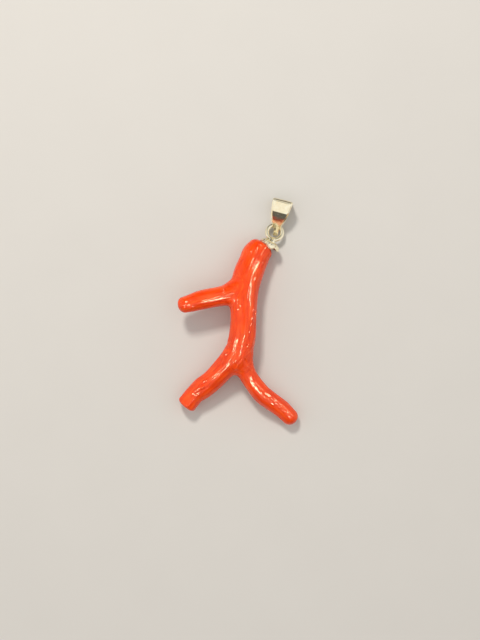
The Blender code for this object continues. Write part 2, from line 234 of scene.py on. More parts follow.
# Chasing, in millimetres. Places where it starts, stops or is highest are shares of the bell
PETAL_CROWN = 0.10
PETAL_CROWN_FROM = (0.15, 0.7)
CLEFT_DEPTH = 0.13
CLEFT_WIDTH = 0.13
CLEFT_FROM = (0.12, 0.4)
CLEFT_RIGHT = 0.6  # how much of the clefts is missing on the right
BEAD_HEIGHT = 0.07
BEAD_AT = 0.965
BEAD_WIDTH = 0.03  # a share of the bell
MIDRIB_DEPTH = 0.07
MIDRIB_RIGHT = 0.05  # how much deeper the midribs are on the right
MIDRIB_WIDTH = 0.09
MIDRIB_SHIFT = 0.15  # radians, on the right
MIDRIB_FROM = (0.30, 0.5)
MIDRIB_TO = (0.85, 0.95)
VEIN_HEIGHT = 0.030
VEIN_SPACING = 0.50
VEIN_SLANT = 3.6  # veins passed on the way from the crown to the rim
VEIN_CLEAR = (0.12, 0.25)  # from the clefts
VEIN_FROM = (0.30, 0.45)
VEIN_TO = (0.86, 0.93)
RIGHT_BULGE = 0.08
RIGHT_BULGE_AT = 0.35
RIGHT_BULGE_WIDTH = 0.22  # a share of the bell
LEFT_SINK = 0.18
LEFT_SINK_FROM = (0.2, 0.6)
# How the sheet lies on the coral
SLOPE_EASE = 0.55  # under 1, the chasing stands off more along the bell's axis
HUG_ROUNDS = 3
HUG_REACH = (0.9, 0.25)  # from this far off the coral the sheet starts to hug it, and hugs it whole
HUG_FROM = (0.45, 0.9)

# The bail, as in the solids: its profile seen from the side, and its width at places along it
BAIL_SHEET = 0.4
BAIL_PROFILE = (
    (-2.28, 0.42), (-1.95, 0.24), (-1.40, 0.20), (0.00, 0.20), (2.00, 0.20),
    (4.00, 0.20), (5.72, 0.22), (6.07, 0.36), (6.18, 0.72), (6.20, 1.95),
    (6.20, 3.20), (6.20, 4.35), (6.16, 4.86), (6.00, 5.14), (5.72, 5.24),
    (5.32, 5.19), (4.57, 5.03), (3.87, 4.88), (3.39, 4.78), (3.17, 4.70),
    (2.95, 4.58), (2.27, 4.20), (1.67, 3.84), (1.00, 3.41), (0.35, 2.96),
    (-0.30, 2.49), (-1.00, 1.99), (-1.75, 1.49), (-2.28, 1.12), (-2.45, 0.75),
)
BAIL_WIDTHS = (
    (-2.70, 1.30), (-1.20, 1.32), (-0.60, 1.60), (0.10, 2.50), (1.07, 3.45),
    (1.87, 3.97), (2.67, 4.33), (5.47, 5.12), (6.40, 5.05),
)
TONGUE_SHIFT = 0.30
TONGUE_ROOT = 0.6
TONGUE_LENGTH = 2.4
BAIL_STEP = 0.06
WIDTH_BLUR = (0.25, 9)  # its width is a mean over this far either way, of this many places
FRONT_FROM = (0.6, 1.2)  # the height at which the plain back gives way to the bevelled front
BEVEL_WIDTH = (0.10, 0.30)  # on the back, and more on the front
BEVEL_FROM = (-0.9, 1.4)
BEVEL_DROP = (0.04, 0.12)
BAIL_CROWN = 0.03
FACE_STEPS = 7
# Section of a bevelled side: share of the bevel's width in from the edge, and of its drop
BEVEL_SECTION = ((1.00, 0.0), (0.93, 0.02), (0.85, 0.10), (0.15, 0.90), (0.05, 1.05), (0.0, 1.25))
# Its inner corner: how far in from the edge, and how far out from the inner face
CORNER_SECTION = ((0.0, 0.06), (0.02, 0.02), (0.06, 0.0))
BAIL_SHARP = math.radians(35.0)

# Noises: scale, detail and roughness
CORAL_BANDS = (1.1, 3.0, 0.6)
CORAL_HAIRS = (3.2, 3.0, 0.6)
CORAL_CLOUDS = (300.0, 2.0, 0.5)
CORAL_SPECKS = (1500.0, 1.0, 0.5)
CORAL_PITS = (2600.0, 1.0, 0.5)
METAL_TONES = (700.0, 2.0, 0.5)
METAL_WEAR = (2500.0, 3.0, 0.6)
METAL_WAVES = (900.0, 1.0, 0.5)
TABLE_TONES = (60.0, 3.0, 0.5)
# How far the coral's bands and hairs are drawn out along the branches
BAND_STRETCH = (1.0, 1.0, 0.16)
HAIR_STRETCH = (1.0, 1.0, 0.07)
# Bumps: distance and strength
HAIR_BUMP = (0.00002, 0.35)
PIT_BUMP = (0.00001, 0.2)
WAVE_BUMP = (0.00003, 0.6)
WEAR_BUMP = (0.00002, 0.25)
# Ramps: places, and the colours or grey values there
CORAL_RED = ((0.30, (0.76, 0.046, 0.004)), (0.50, (0.86, 0.066, 0.005)), (0.72, (0.93, 0.104, 0.010)))
CORAL_CLOUDY = ((0.35, (0.88, 0.84, 0.84)), (0.65, (1.0, 1.0, 1.0)))
CORAL_SPECKLED = ((0.20, (0.80, 0.68, 0.68)), (0.27, (1.0, 1.0, 1.0)))
CORAL_ROUGHNESS = ((0.3, (0.16, 0.16, 0.16)), (0.7, (0.30, 0.30, 0.30)))
METAL_GOLD = ((0.3, (0.94, 0.83, 0.57)), (0.7, (0.99, 0.93, 0.73)))
METAL_ROUGHNESS = ((0.3, (0.06, 0.06, 0.06)), (0.7, (0.14, 0.14, 0.14)))
CORAL_POLISH = {
    "Subsurface Weight": 0.12,
    "Subsurface Radius": (1.0, 0.25, 0.10),
    "Subsurface Scale": 0.0006,
    "Specular IOR Level": 0.10,
    "Coat Weight": 0.45,
    "Coat Roughness": 0.06,
    "IOR": 1.5,
}
# The mix node's sockets for colours
COLOUR_A = 6
COLOUR_B = 7
COLOUR_OUT = 2

# The table
TABLE_HALF = 1.5  # metres
TABLE_DROP = 0.00003  # it lies this far under the parts' flat faces
TABLE_COLOUR = (0.60, 0.59, 0.57)
TABLE_SHADE = 0.985  # how dark its faint clouds are
TABLE_ROUGHNESS = 0.6

# The room. Brightness of its sides, seen from the pendant
ROOM_COLOUR = (1.0, 0.98, 0.94, 1.0)
CEILING = 0.98
FAR_CEILING = 0.62
SIDE_WALLS = 0.90
FAR_WALL = 0.12
NEAR_WALL = 0.11
OVERHEAD = 0.40  # share of the ceiling's light that is left around the camera
# Where each side starts and is whole, as parts of a direction's x, y or z
NEAR_TO_FAR = (-0.50, -0.22)
SIDES_FROM = (0.50, 0.70)
CEILING_FROM = (0.60, 0.74)
OVERHEAD_FROM = (0.989, 0.995)
FAR_CEILING_FROM = (0.10, 0.30)
# A patch low on the room's near side, painted in tan and the coral's lit and shaded reds. The bail's
# front shows it as a painted reflection of the coral: its colours by height, and its edges
PAINTED_CORAL_REFLECTION_COLOURS = (
    (0.35, (0.62, 0.48, 0.30)),
    (0.39, (0.85, 0.42, 0.27)),
    (0.42, (0.85, 0.42, 0.27)),
    (0.455, (0.36, 0.06, 0.03)),
)
PAINTED_REFLECTION_BOTTOM = (0.15, 0.18)
PAINTED_REFLECTION_TOP = (0.49, 0.51)
PAINTED_REFLECTION_SIDE = (-0.60, -0.50)


# Numbers and noise

def along(route, step, closed=False):
    """Points about step apart on a smooth curve through the route's own points."""
    knots = [np.array(point, float) for point in route]
    if closed:
        knots = [knots[-1], *knots, knots[0], knots[1]]
    else:
        knots = [2 * knots[0] - knots[1], *knots, 2 * knots[-1] - knots[-2]]
    points = []
    for a, b, c, d in zip(knots, knots[1:], knots[2:], knots[3:]):
        count = max(1, round(float(np.linalg.norm(c - b)) / step))
        t = (np.arange(count) / count)[:, None]
        bend = (2 * a - 5 * b + 4 * c - d) * t**2 + (3 * b - a - 3 * c + d) * t**3
        points.append(0.5 * (2 * b + (c - a) * t + bend))
    if not closed:
        points.append(knots[-2][None, :])
    return np.concatenate(points)


def unit(vector):
    vector = np.asarray(vector, float)
    return vector / np.linalg.norm(vector)


def units(vectors):
    """Each row at length one, or as it is where it has no length."""
    return vectors / np.maximum(np.linalg.norm(vectors, axis=1), 1e-9)[:, None]


def smooth_step(low, high, value):
    t = np.clip((np.asarray(value, float) - low) / (high - low), 0, 1)
    return t * t * (3 - 2 * t)


def hump(value, width, power=2):
    """One at zero, falling off at about a width either way, and squarer for a higher power."""
    return np.exp(-((value / width) ** power))


def lattice(cells, seed):
    """A repeatable number from -1 to 1 for each whole-number cell, by mixing its bits."""
    x, y, z = (cells[..., i].astype(np.int64) for i in range(3))
    n = (x * 374761393 + y * 668265263 + z * 2147483647 + seed * 1274126177) & 0x7FFFFFFF
    n = ((n ^ (n >> 13)) * 1103515245 + 12345) & 0x7FFFFFFF
    n = ((n ^ (n >> 15)) * 69069 + 1) & 0x7FFFFFFF
    return (n & 0xFFFFFF) / float(0x7FFFFF) - 1.0


def noise(points, seed):
    """Smooth noise from -1 to 1 at each point."""
    base = np.floor(points)
    part = points - base
    ease = part * part * part * (part * (part * 6 - 15) + 10)
    total = 0.0
    for corner in np.ndindex(2, 2, 2):
        weight = 1.0
        for axis in range(3):
            weight = weight * (ease[:, axis] if corner[axis] else 1 - ease[:, axis])
        total = total + weight * lattice(base + np.array(corner), seed)
    return total


# The coral's shape

class Branch:
    """One round branch: its middle line, radius and turning frame, sampled closely."""

    def __init__(self, route, start, end, seed):
        points = along(route, ROUTE_STEP)
        self.middle = points[:, :3]
        self.radius = points[:, 3]
        self.start = start
        self.end = end
        self.seed = seed
        spacing = np.linalg.norm(np.diff(self.middle, axis=0), axis=1)
        self.run = np.concatenate([[0.0], np.cumsum(spacing)])
        self.heading = units(np.gradient(self.middle, axis=0))
        self.swell = np.gradient(self.radius, self.run)
        side = np.cross(self.heading[0], (0.0, 0.0, 1.0))
        sides = []
        for ahead in self.heading:
            side = unit(side - (side @ ahead) * ahead)
            sides.append(side)
        self.side = np.array(sides)
        self.up = np.cross(self.side, self.heading)

    def nearest(self, points):
        found = np.empty(len(points), int)
        for at in range(0, len(points), SAMPLE_BLOCK):
            block = points[at : at + SAMPLE_BLOCK]
            squares = (block**2).sum(1)[:, None] + (self.middle**2).sum(1)[None, :]
            found[at : at + SAMPLE_BLOCK] = (squares - 2 * block @ self.middle.T).argmin(1)
        return found

    def measure(self, points):
        """Distance outside the skin, its direction, and where it is along and around."""
        i = self.nearest(points)
        heading = self.heading[i]
        from_sample = points - self.middle[i]
        ahead = (from_sample * heading).sum(1)
        first, last = i == 0, i == len(self.middle) - 1
        past = np.where(first, np.minimum(ahead, 0), np.where(last, np.maximum(ahead, 0), 0.0))
        slide = np.where(first & (ahead < 0), 0.0, np.where(last & (ahead > 0), 0.0, ahead))
        slide = np.clip(slide, -ROUTE_STEP, ROUTE_STEP)
        radius = self.radius[i] + self.swell[i] * slide
        spoke = from_sample - ahead[:, None] * heading
        reach = np.linalg.norm(spoke, axis=1)
        tip = np.where(first, self.start[0], self.end[0])
        square = np.where(first, self.start[1], self.end[1])
        rise = np.abs(past) / (tip * radius)
        share = np.maximum(reach / radius, 1e-6)
        whole = share ** (2 / square) + rise**2
        outside = radius * (whole ** (square / 2) - 1)
        toward = spoke / np.maximum(reach, 1e-9)[:, None]
        lean = (past / (tip * radius) ** 2)[:, None] * heading * radius[:, None]
        direction = toward * np.where(past == 0, 1.0, share ** (2 / square - 1))[:, None] + lean
        around = np.arctan2((spoke * self.up[i]).sum(1), (spoke * self.side[i]).sum(1))
        return outside, units(direction), self.run[i] + slide + past, around, radius


BRANCHES = (
    Branch(STEM_ROUTE, STEM_END, BURIED_END, 1),
    Branch(SIDE_ROUTE, BURIED_END, SIDE_END, 2),
    Branch(LEFT_ROUTE, BURIED_END, LEFT_END, 3),
    Branch(RIGHT_ROUTE, BURIED_END, RIGHT_END, 4),
)


def skin_distance(points):
    """Distance outside the whole smooth coral, its direction, and each branch's own measures."""
    total, toward, measures = None, None, []
    for branch in BRANCHES:
        measured = branch.measure(points)
        measures.append(measured)
        outside, direction = measured[0], measured[1]
        if total is None:
            total, toward = outside.copy(), direction.copy()
            continue
        facing = (toward * direction).sum(1)
        reach = WEB * np.clip((1 - facing) / WEB_PARTING, WEB_LEAST, 1)
        mix = np.clip(0.5 + 0.5 * (total - outside) / reach, 0, 1)
        total = total + (outside - total) * mix - reach * mix * (1 - mix)
        toward = units(toward + (direction - toward) * mix[:, None])
    return total, toward, measures


def shares(measures):
    """How much each branch owns of each point, adding up to one."""
    weights = [np.exp(-np.clip(measured[0], *SHARE_REACH) / SHARE_BLEND) for measured in measures]
    total = sum(weights)
    return [w / total for w in weights]


def ribs(branch, run, around):
    """Height of the long growth ribs of a branch, and its slow swells."""
    twist = around + RIB_TWIST * run
    ring = np.stack([np.cos(twist), np.sin(twist)], 1)
    height = 0.0
    for number, (rise, closeness, length) in enumerate(RIBS):
        cells = np.column_stack([ring * closeness, run / length])
        height = height + rise * noise(cells, branch.seed * SEED_STEP + number)
    return height


def relief(measures):
    """How far the real skin stands off the smooth one."""
    height = 0.0
    for branch, share, (_, _, run, around, radius) in zip(BRANCHES, shares(measures), measures):
        past_end = np.maximum(np.maximum(-run, run - branch.run[-1]), 0)
        fade = 1 - RIB_FADE * smooth_step(0.0, RIB_FADE_REACH, past_end / radius)
        height = height + share * fade * ribs(branch, run, around)
    return height


def places_on(points, x, y, heading):
    """Where points lie along and across a heading through a place, seen from above."""
    turn = math.radians(heading)
    dx, dy = points[:, 0] - x, points[:, 1] - y
    ahead = dx * math.cos(turn) + dy * math.sin(turn)
    aside = dy * math.cos(turn) - dx * math.sin(turn)
    return ahead, aside


def mark_height(points, normals):
    """Knots and pits that the photograph shows on the upper side."""
    height = np.zeros(len(points))
    upper = np.clip(normals[:, 2] * MARK_UPPER, 0, 1)
    for x, y, length, width, heading, rise in MARKS:
        ahead, aside = places_on(points, x, y, heading)
        u, v = ahead / (MARK_SPREAD * length), aside / (MARK_SPREAD * width)
        height += rise * np.exp(-(u**2 + v**2)) * upper
    return height


def glint_slopes(x, y):
    """For each lamp, the two slopes at one place that show its ends to the camera."""
    spot = np.array((x, y, SKIN_TOP))
    slopes = []
    for first, last, _ in LAMPS.values():
        halfway = [unit(CAMERA_PLACE - spot) + unit(np.array(end) - spot) for end in (first, last)]
        slopes.append([h[:2] / h[2] for h in halfway])
    return slopes


def nearest_glint(own, x, y):
    """The slope closest to a facet's own that shows a lamp, and the slopes for that lamp's ends."""
    best = None
    for first, last in glint_slopes(x, y):
        share = ((own - first) @ (last - first)) / ((last - first) @ (last - first))
        slope = first + np.clip(share, *STRIP_MIDDLE) * (last - first)
        gap = np.linalg.norm(slope - own)
        if best is None or gap < best[0]:
            best = gap, slope, first, last
    return best[1:]


def facet_window(points, upper, facet):
    """The vertices near one facet, their weights, and their places along and across it."""
    x, y, length, width, heading = facet
    ahead, aside = places_on(points, x, y, heading)
    far = 0.0
    fades = ((ahead, length, FACET_FADE_ALONG), (aside, width, FACET_FADE_ACROSS))
    for place, size, (part, more, power) in fades:
        far = far + (place / (part * size + more)) ** power
    near = np.nonzero((far < FACET_EDGE) & (upper > 0))[0]
    return near, np.exp(-far[near]) * upper[near], ahead[near], aside[near]


def cut_facets(points, normals):
    """Flattens the skin across each facet, at the slope that shows the nearest lamp."""
    upper = np.clip(normals[:, 2] * FACET_UPPER, 0, 1)
    for facet in FACETS:
        x, y, length, _, heading = facet
        near, window, a, c = facet_window(points, upper, facet)
        turn = math.radians(heading)
        axis = np.array((math.cos(turn), math.sin(turn)))
        side = np.array((-math.sin(turn), math.cos(turn)))
        # The skin's own height is fitted as a + b*along + c*across and their higher powers
        terms = np.column_stack([np.ones_like(a), a, c, a * a, a * c, c * c, a**3])
        fitted = np.linalg.lstsq(terms * window[:, None], points[near, 2] * window, rcond=None)[0]
        level, rise_along, rise_across, bend, _, _, twist = fitted
        if length < SHORT_FACET:
            bend = twist = 0.0
        own = -(rise_along * axis + rise_across * side)
        wanted, first, last = nearest_glint(own, x, y)
        tilt = (wanted - own) @ axis
        own_along = -(rise_along + 2 * bend * a + 3 * twist * a * a) + tilt
        run = (last - first) @ axis
        share = 0.5
        if abs(run) > STRIP_RUN:
            share = np.clip((own_along - first @ axis) / run, *STRIP_SHOWN)
        across = first @ side + share * ((last - first) @ side)
        flat = level + (rise_along - tilt) * a + bend * a * a + twist * a**3 - across * c
        points[near, 2] += window * (flat - points[near, 2])


# Meshes

def new_mesh_object(name, points, faces, material=None):
    mesh = bpy.data.meshes.new(name)
    mesh.from_pydata((np.asarray(points, float) * MM).tolist(), [], faces)
    mesh.validate()
    mesh.shade_smooth()
    if material:
        mesh.materials.append(material)
    made = bpy.data.objects.new(name, mesh)
    bpy.context.scene.collection.objects.link(made)
    return made


def outward_faces(obj):
    bm = bmesh.new()
    bm.from_mesh(obj.data)
    bmesh.ops.recalc_face_normals(bm, faces=bm.faces)
    bm.to_mesh(obj.data)
    bm.free()


def outward_object(name, points, faces, material):
    """A smooth piece whose faces all look outwards."""
    made = new_mesh_object(name, points, faces, material)
    outward_faces(made)
    made.data.shade_smooth()
    return made


def grid_faces(rows, columns, closed_rows=False, start=0):
    """Quads over a grid of vertices stored row by row, closed along each row."""
    faces = []
    for r in range(rows if closed_rows else rows - 1):
        row, below = start + r * columns, start + (r + 1) % rows * columns
        for c in range(columns):
            d = (c + 1) % columns
            faces.append((row + c, row + d, below + d, below + c))
    return faces


def circle(middle, radius, side, up, count):
    """Evenly spaced points on a circle."""
    turns = (math.tau * k / count for k in range(count))
    return [middle + radius * (math.cos(turn) * side + math.sin(turn) * up) for turn in turns]


def remeshed(points, faces, voxel):
    """The closed shapes in a mesh grown into one even skin: its points and its faces."""
    guide = new_mesh_object("guide", points, faces)
    outward_faces(guide)
    grow = guide.modifiers.new("Grow", "REMESH")
    grow.mode = "VOXEL"
    grow.voxel_size = voxel * MM
    even = guide.modifiers.new("Even", "SMOOTH")
    even.factor = EVEN_FACTOR
    even.iterations = EVEN_ROUNDS
    grown = guide.evaluated_get(bpy.context.evaluated_depsgraph_get()).to_mesh()
    co = np.empty(len(grown.vertices) * 3)
    grown.vertices.foreach_get("co", co)
    made = [tuple(face.vertices) for face in grown.polygons]
    bpy.data.objects.remove(guide, do_unlink=True)
    return co.reshape(-1, 3) / MM, made


def tube_mesh(branch, start):
    """A plain closed tube along a branch, for the remesh to start from."""
    final = len(branch.middle) - 1
    picks = list(range(0, final + 1, TUBE_STRIDE))
    if picks[-1] != final:
        picks.append(final)
    domes = []
    for sign, index, (tip, square) in ((-1, 0, branch.start), (1, final, branch.end)):
        dome = []
        for step in range(1, DOME_RINGS + 1):
            angle = 0.5 * math.pi * step / DOME_CLOSE
            radius = branch.radius[index]
            rise = sign * tip * radius * math.sin(angle)
            middle = branch.middle[index] + rise * branch.heading[index]
            dome.append((middle, radius * math.cos(angle) ** square, index))
        domes.append(dome)
    body = [(branch.middle[i], branch.radius[i], i) for i in picks]
    rings = list(reversed(domes[0])) + body + domes[1]
    points = []
    for middle, radius, index in rings:
        points += circle(middle, radius, branch.side[index], branch.up[index], TUBE_SIDES)
    faces = grid_faces(len(rings), TUBE_SIDES, start=start)
    top = start + (len(rings) - 1) * TUBE_SIDES
    faces.append(tuple(start + k for k in reversed(range(TUBE_SIDES))))
    faces.append(tuple(top + k for k in range(TUBE_SIDES)))
    return points, faces


# The pieces

def grain_of(measures):
    """Coordinates that run along and around the branches, for the material's streaks."""
    grain = 0.0
    for branch, share, (_, _, run, around, radius) in zip(BRANCHES, shares(measures), measures):
        ring = np.stack([np.cos(around) * radius, np.sin(around) * radius], 1)
        own = np.column_stack([ring, run + GRAIN_STEP * branch.seed])
        grain = grain + share[:, None] * own
    return grain


def coral_skin(material):
    points, faces = [], []
    for branch in BRANCHES:
        tube_points, tube_faces = tube_mesh(branch, len(points))
        points += tube_points
        faces += tube_faces
    points, faces = remeshed(points, faces, SKIN_FACET)
    for _ in range(SKIN_ROUNDS):
        outside, toward, _ = skin_distance(points)
        points = points - np.clip(outside, -SKIN_PULL, SKIN_PULL)[:, None] * toward
    _, toward, measures = skin_distance(points)
    height = relief(measures) + mark_height(points, toward)
    points = points + height[:, None] * toward
    points[:, 2] = np.maximum(points[:, 2], SKIN_LOWEST)
    made = new_mesh_object("coral", points, faces, material)
    normals = np.empty(len(points) * 3, np.float32)
    made.data.vertex_normals.foreach_get("vector", normals)
    for _ in range(FACET_ROUNDS):
        cut_facets(points, normals.reshape(-1, 3))
    made.data.vertices.foreach_set("co", (points * MM).ravel())
    made.data.update()
    grain = made.data.attributes.new("grain", "FLOAT_VECTOR", "POINT")
    grain.data.foreach_set("vector", grain_of(measures).astype(np.float32).ravel())
    return made


def cap_surface(t):
    """Height and reach of the bell's outside, t from the crown to the rim."""
    angle = 0.5 * math.pi * t
    height = CAP_HEIGHT * np.cos(angle) ** CAP_SHOULDER
    reach = CAP_RADIUS * np.sin(angle) ** CAP_SHOULDER
    return height, reach


def chased_bell(turn, t):
    """Height and reach of the petalled bell, and how far its chasing stands off it."""
    petal = math.tau / CAP_PETALS
    # Angle from the middle of the nearest petal, and from the nearest cleft
    off = (turn - CAP_TURN + petal / 2) % petal - petal / 2
    edge = petal / 2 - np.abs(off)
    right = hump(np.angle(np.exp(1j * (turn - math.pi))), CAP_RIGHT, 4)
    left = hump(np.angle(np.exp(1j * turn)), CAP_LEFT, 4)
    notch = NOTCH_DEPTH * hump(edge, NOTCH_WIDTH) * (1 - right)
    own = 1 - notch + PETAL_WAVE * np.cos(off / petal * math.tau) + LEFT_REACH * left
    t_here = CAP_CROWN + (t - CAP_CROWN) * (own - CAP_CROWN) / (1 - CAP_CROWN)
    height, reach = cap_surface(np.clip(t_here, 0, 1))
    across = edge * reach
    crown = PETAL_CROWN * smooth_step(*PETAL_CROWN_FROM, t) * (1 - (off / (petal / 2)) ** 2)
    groove = -CLEFT_DEPTH * hump(across, CLEFT_WIDTH) * smooth_step(*CLEFT_FROM, t)
    groove = groove * (1 - CLEFT_RIGHT * right)
    bead = BEAD_HEIGHT * hump(t - BEAD_AT, BEAD_WIDTH)
    rib_at = np.abs(off + MIDRIB_SHIFT * right) * reach
    midrib = -(MIDRIB_DEPTH + MIDRIB_RIGHT * right) * hump(rib_at, MIDRIB_WIDTH)
    midrib = midrib * smooth_step(*MIDRIB_FROM, t) * (1 - smooth_step(*MIDRIB_TO, t))
    inner = smooth_step(*VEIN_CLEAR, across) * smooth_step(*VEIN_FROM, t)
    inner = inner * (1 - smooth_step(*VEIN_TO, t))
    slant = rib_at / VEIN_SPACING - t * VEIN_SLANT
    veins = VEIN_HEIGHT * inner * (1 - right) * np.cos(math.tau * slant)
    bulge = RIGHT_BULGE * right * hump(t - RIGHT_BULGE_AT, RIGHT_BULGE_WIDTH)
    bulge = bulge - LEFT_SINK * left * smooth_step(*LEFT_SINK_FROM, t)
    return height, reach, crown + groove + bead + midrib + veins + bulge


def cap_shell(turn, t, bell, clear):
    """One face of the bell's sheet, at least this clear of the coral and drawn to it at the rim."""
    height, reach, lift = bell
    slope = np.arctan2(height, reach * SLOPE_EASE)
    out_r = reach + lift * np.cos(slope)
    out_h = height + lift * np.sin(slope)
    z = unit(CAP_HEADING)
    x = unit(np.cross((0.0, 0.0, 1.0), z))
    y = np.cross(z, x)
    spot = (
        CAP_MIDDLE
        + (out_r * np.cos(turn))[..., None] * x
        + (out_r * np.sin(turn))[..., None] * y
        + (out_h + 0 * turn)[..., None] * z
    )
    points = spot.reshape(-1, 3)
    hugging = (smooth_step(*HUG_FROM, t) + 0 * turn).ravel()
    for _ in range(HUG_ROUNDS):
        outside, toward, _ = skin_distance(points)
        wanted = np.maximum(outside, clear)
        wanted = wanted + hugging * smooth_step(*HUG_REACH, outside - clear) * (clear - wanted)
        points = points + (wanted - outside)[:, None] * toward
    return points


def bell_cap(material):
    """A thin bell of six chased petals, pressed down on to the coral's end."""
    turns, steps = CAP_GRID
    turn = (np.arange(turns) * math.tau / turns)[None, :]
    t = np.linspace(CAP_CROWN, 1.0, steps)[:, None]
    height, reach, lift = chased_bell(turn, t)
    outer = cap_shell(turn, t, (height, reach, lift), CAP_CLEAR + CAP_SHEET)
    outside, toward, _ = skin_distance(outer)
    on_coral = smooth_step(*HUG_REACH, outside - CAP_SHEET)
    outer = outer + ((lift + 0 * turn).ravel() * on_coral)[:, None] * toward
    inner = cap_shell(turn, t, (height, reach, lift - CAP_SHEET), CAP_CLEAR)
    count = len(outer)
    faces = grid_faces(steps, turns)
    faces += [tuple(count + v for v in reversed(face)) for face in faces]
    rim = count - turns
    for c in range(turns):
        d = (c + 1) % turns
        faces.append((rim + c, count + rim + c, count + rim + d, rim + d))
    faces.append(tuple(range(turns)))
    faces.append(tuple(count + v for v in reversed(range(turns))))
    return outward_object("bell_cap", np.concatenate([outer, inner]), faces, material)


def neck_ends():
    """The solder's neck, from inside the bell to the near side of the ring's wire."""
    return CAP_MIDDLE + NECK_RISE * unit(CAP_HEADING), RING_MIDDLE - RING_RADIUS * RING_AHEAD


def ring_distance(points):
    """Distance outside the ring with its flared neck of solder."""
    local = points - RING_MIDDLE
    a, b, c = local @ ACROSS, local @ RING_AHEAD, local @ RING_OUT
    wire = np.hypot(np.hypot(a, b) - RING_RADIUS, c) - RING_WIRE
    foot, top = neck_ends()
    run = top - foot
    share = np.clip(((points - foot) @ run) / (run @ run), 0, 1)
    waist = NECK_WAIST + NECK_FLARE * (1 - share) ** 3
    neck = np.linalg.norm(points - foot - share[:, None] * run, axis=1) - waist
    mix = np.clip(0.5 + 0.5 * (wire - neck) / SOLDER_FILLET, 0, 1)
    return wire + (neck - wire) * mix - SOLDER_FILLET * mix * (1 - mix)


def settle(points, distance):
    """Moves points on to the surface where a distance is zero."""
    for _ in range(SETTLE_ROUNDS):
        here = distance(points)
        steps = SETTLE_STEP * np.eye(3)
        slope = np.stack([distance(points + step) - distance(points - step) for step in steps], 1)
        points = points - np.clip(here, -SETTLE_PULL, SETTLE_PULL)[:, None] * units(slope)
    return points


def soldered_ring(material):
    points = []
    big, small = RING_STEPS
    for spoke in circle(np.zeros(3), 1.0, ACROSS, RING_AHEAD, big):
        points += circle(RING_MIDDLE + RING_RADIUS * spoke, RING_WIRE, spoke, RING_OUT, small)
    faces = grid_faces(big, small, closed_rows=True)
    foot, top = neck_ends()
    run = unit(top - foot)
    side = unit(np.cross(run, (0.0, 0.0, 1.0)))
    length = float(np.linalg.norm(top - foot))
    start = len(points)
    for share, more, radius in NECK_STATIONS:
        middle = foot + (share * length + more) * run
        points += circle(middle, radius, side, np.cross(side, run), NECK_SIDES)
    faces += grid_faces(len(NECK_STATIONS), NECK_SIDES, start=start)
    end = len(points) - NECK_SIDES
    faces.append(tuple(start + k for k in reversed(range(NECK_SIDES))))
    faces.append(tuple(end + k for k in range(NECK_SIDES)))
    grown, quads = remeshed(points, faces, RING_FACET)
    return outward_object("soldered_ring", settle(grown, ring_distance), quads, material)


def bail_half_width(u):
    """Half of the bail's width at places along it, with the corners of its taper eased."""
    places, widths = zip(*BAIL_WIDTHS)
    reach, count = WIDTH_BLUR
    nearby = np.linspace(-reach, reach, count)
    return np.array([np.mean(np.interp(at + nearby, places, widths)) for at in u]) / 2


def bail_section(u, height):
    """Across and thickness places of each line along the sheet, right around its section."""
    half = bail_half_width(u)
    front = smooth_step(*FRONT_FROM, height)
    bevel = BEVEL_WIDTH[1] * front * smooth_step(*BEVEL_FROM, u) + BEVEL_WIDTH[0]
    drop = BEVEL_DROP[1] * front + BEVEL_DROP[0]
    thick = BAIL_SHEET / 2
    right = [(half - bevel * inward, thick - drop * down) for inward, down in BEVEL_SECTION]
    right += [(half - inward, out - thick + 0 * u) for inward, out in CORNER_SECTION]
    left = [(-across, out) for across, out in reversed(right)]
    face = []
    for k in range(1, FACE_STEPS):
        share = -1 + 2 * k / FACE_STEPS
        face.append(((half - bevel) * share, thick + BAIL_CROWN * front * (1 - share**2)))
    return right + left + face


def folded_bail(material):
    """The folded sheet with bevelled sides, a crowned front and a narrow tongue."""
    profile = along(BAIL_PROFILE, BAIL_STEP, closed=True)
    run = units(np.roll(profile, -1, axis=0) - np.roll(profile, 1, axis=0))
    outward = np.stack([run[:, 1], -run[:, 0]], 1)
    u, height = profile[:, 0], profile[:, 1]
    sway = TONGUE_SHIFT * np.clip((TONGUE_ROOT - u) / TONGUE_LENGTH, 0, 1)
    base = RING_MIDDLE + RING_RADIUS * RING_AHEAD
    base[2] = 0.0
    upright = np.array((0.0, 0.0, 1.0))
    section = bail_section(u, height)
    lines = []
    for across, out in section:
        spot_u = u + out * outward[:, 0]
        spot_z = height + out * outward[:, 1]
        line = base + (across + sway)[:, None] * ACROSS + spot_u[:, None] * LEVEL
        lines.append(line + spot_z[:, None] * upright)
    points = np.stack(lines, 1).reshape(-1, 3)
    points[:, 2] = np.maximum(points[:, 2], 0.0)
    faces = grid_faces(len(profile), len(section), closed_rows=True)
    made = outward_object("folded_bail", points, faces, material)
    made.data.set_sharp_from_angle(angle=BAIL_SHARP)
    return made


# Materials

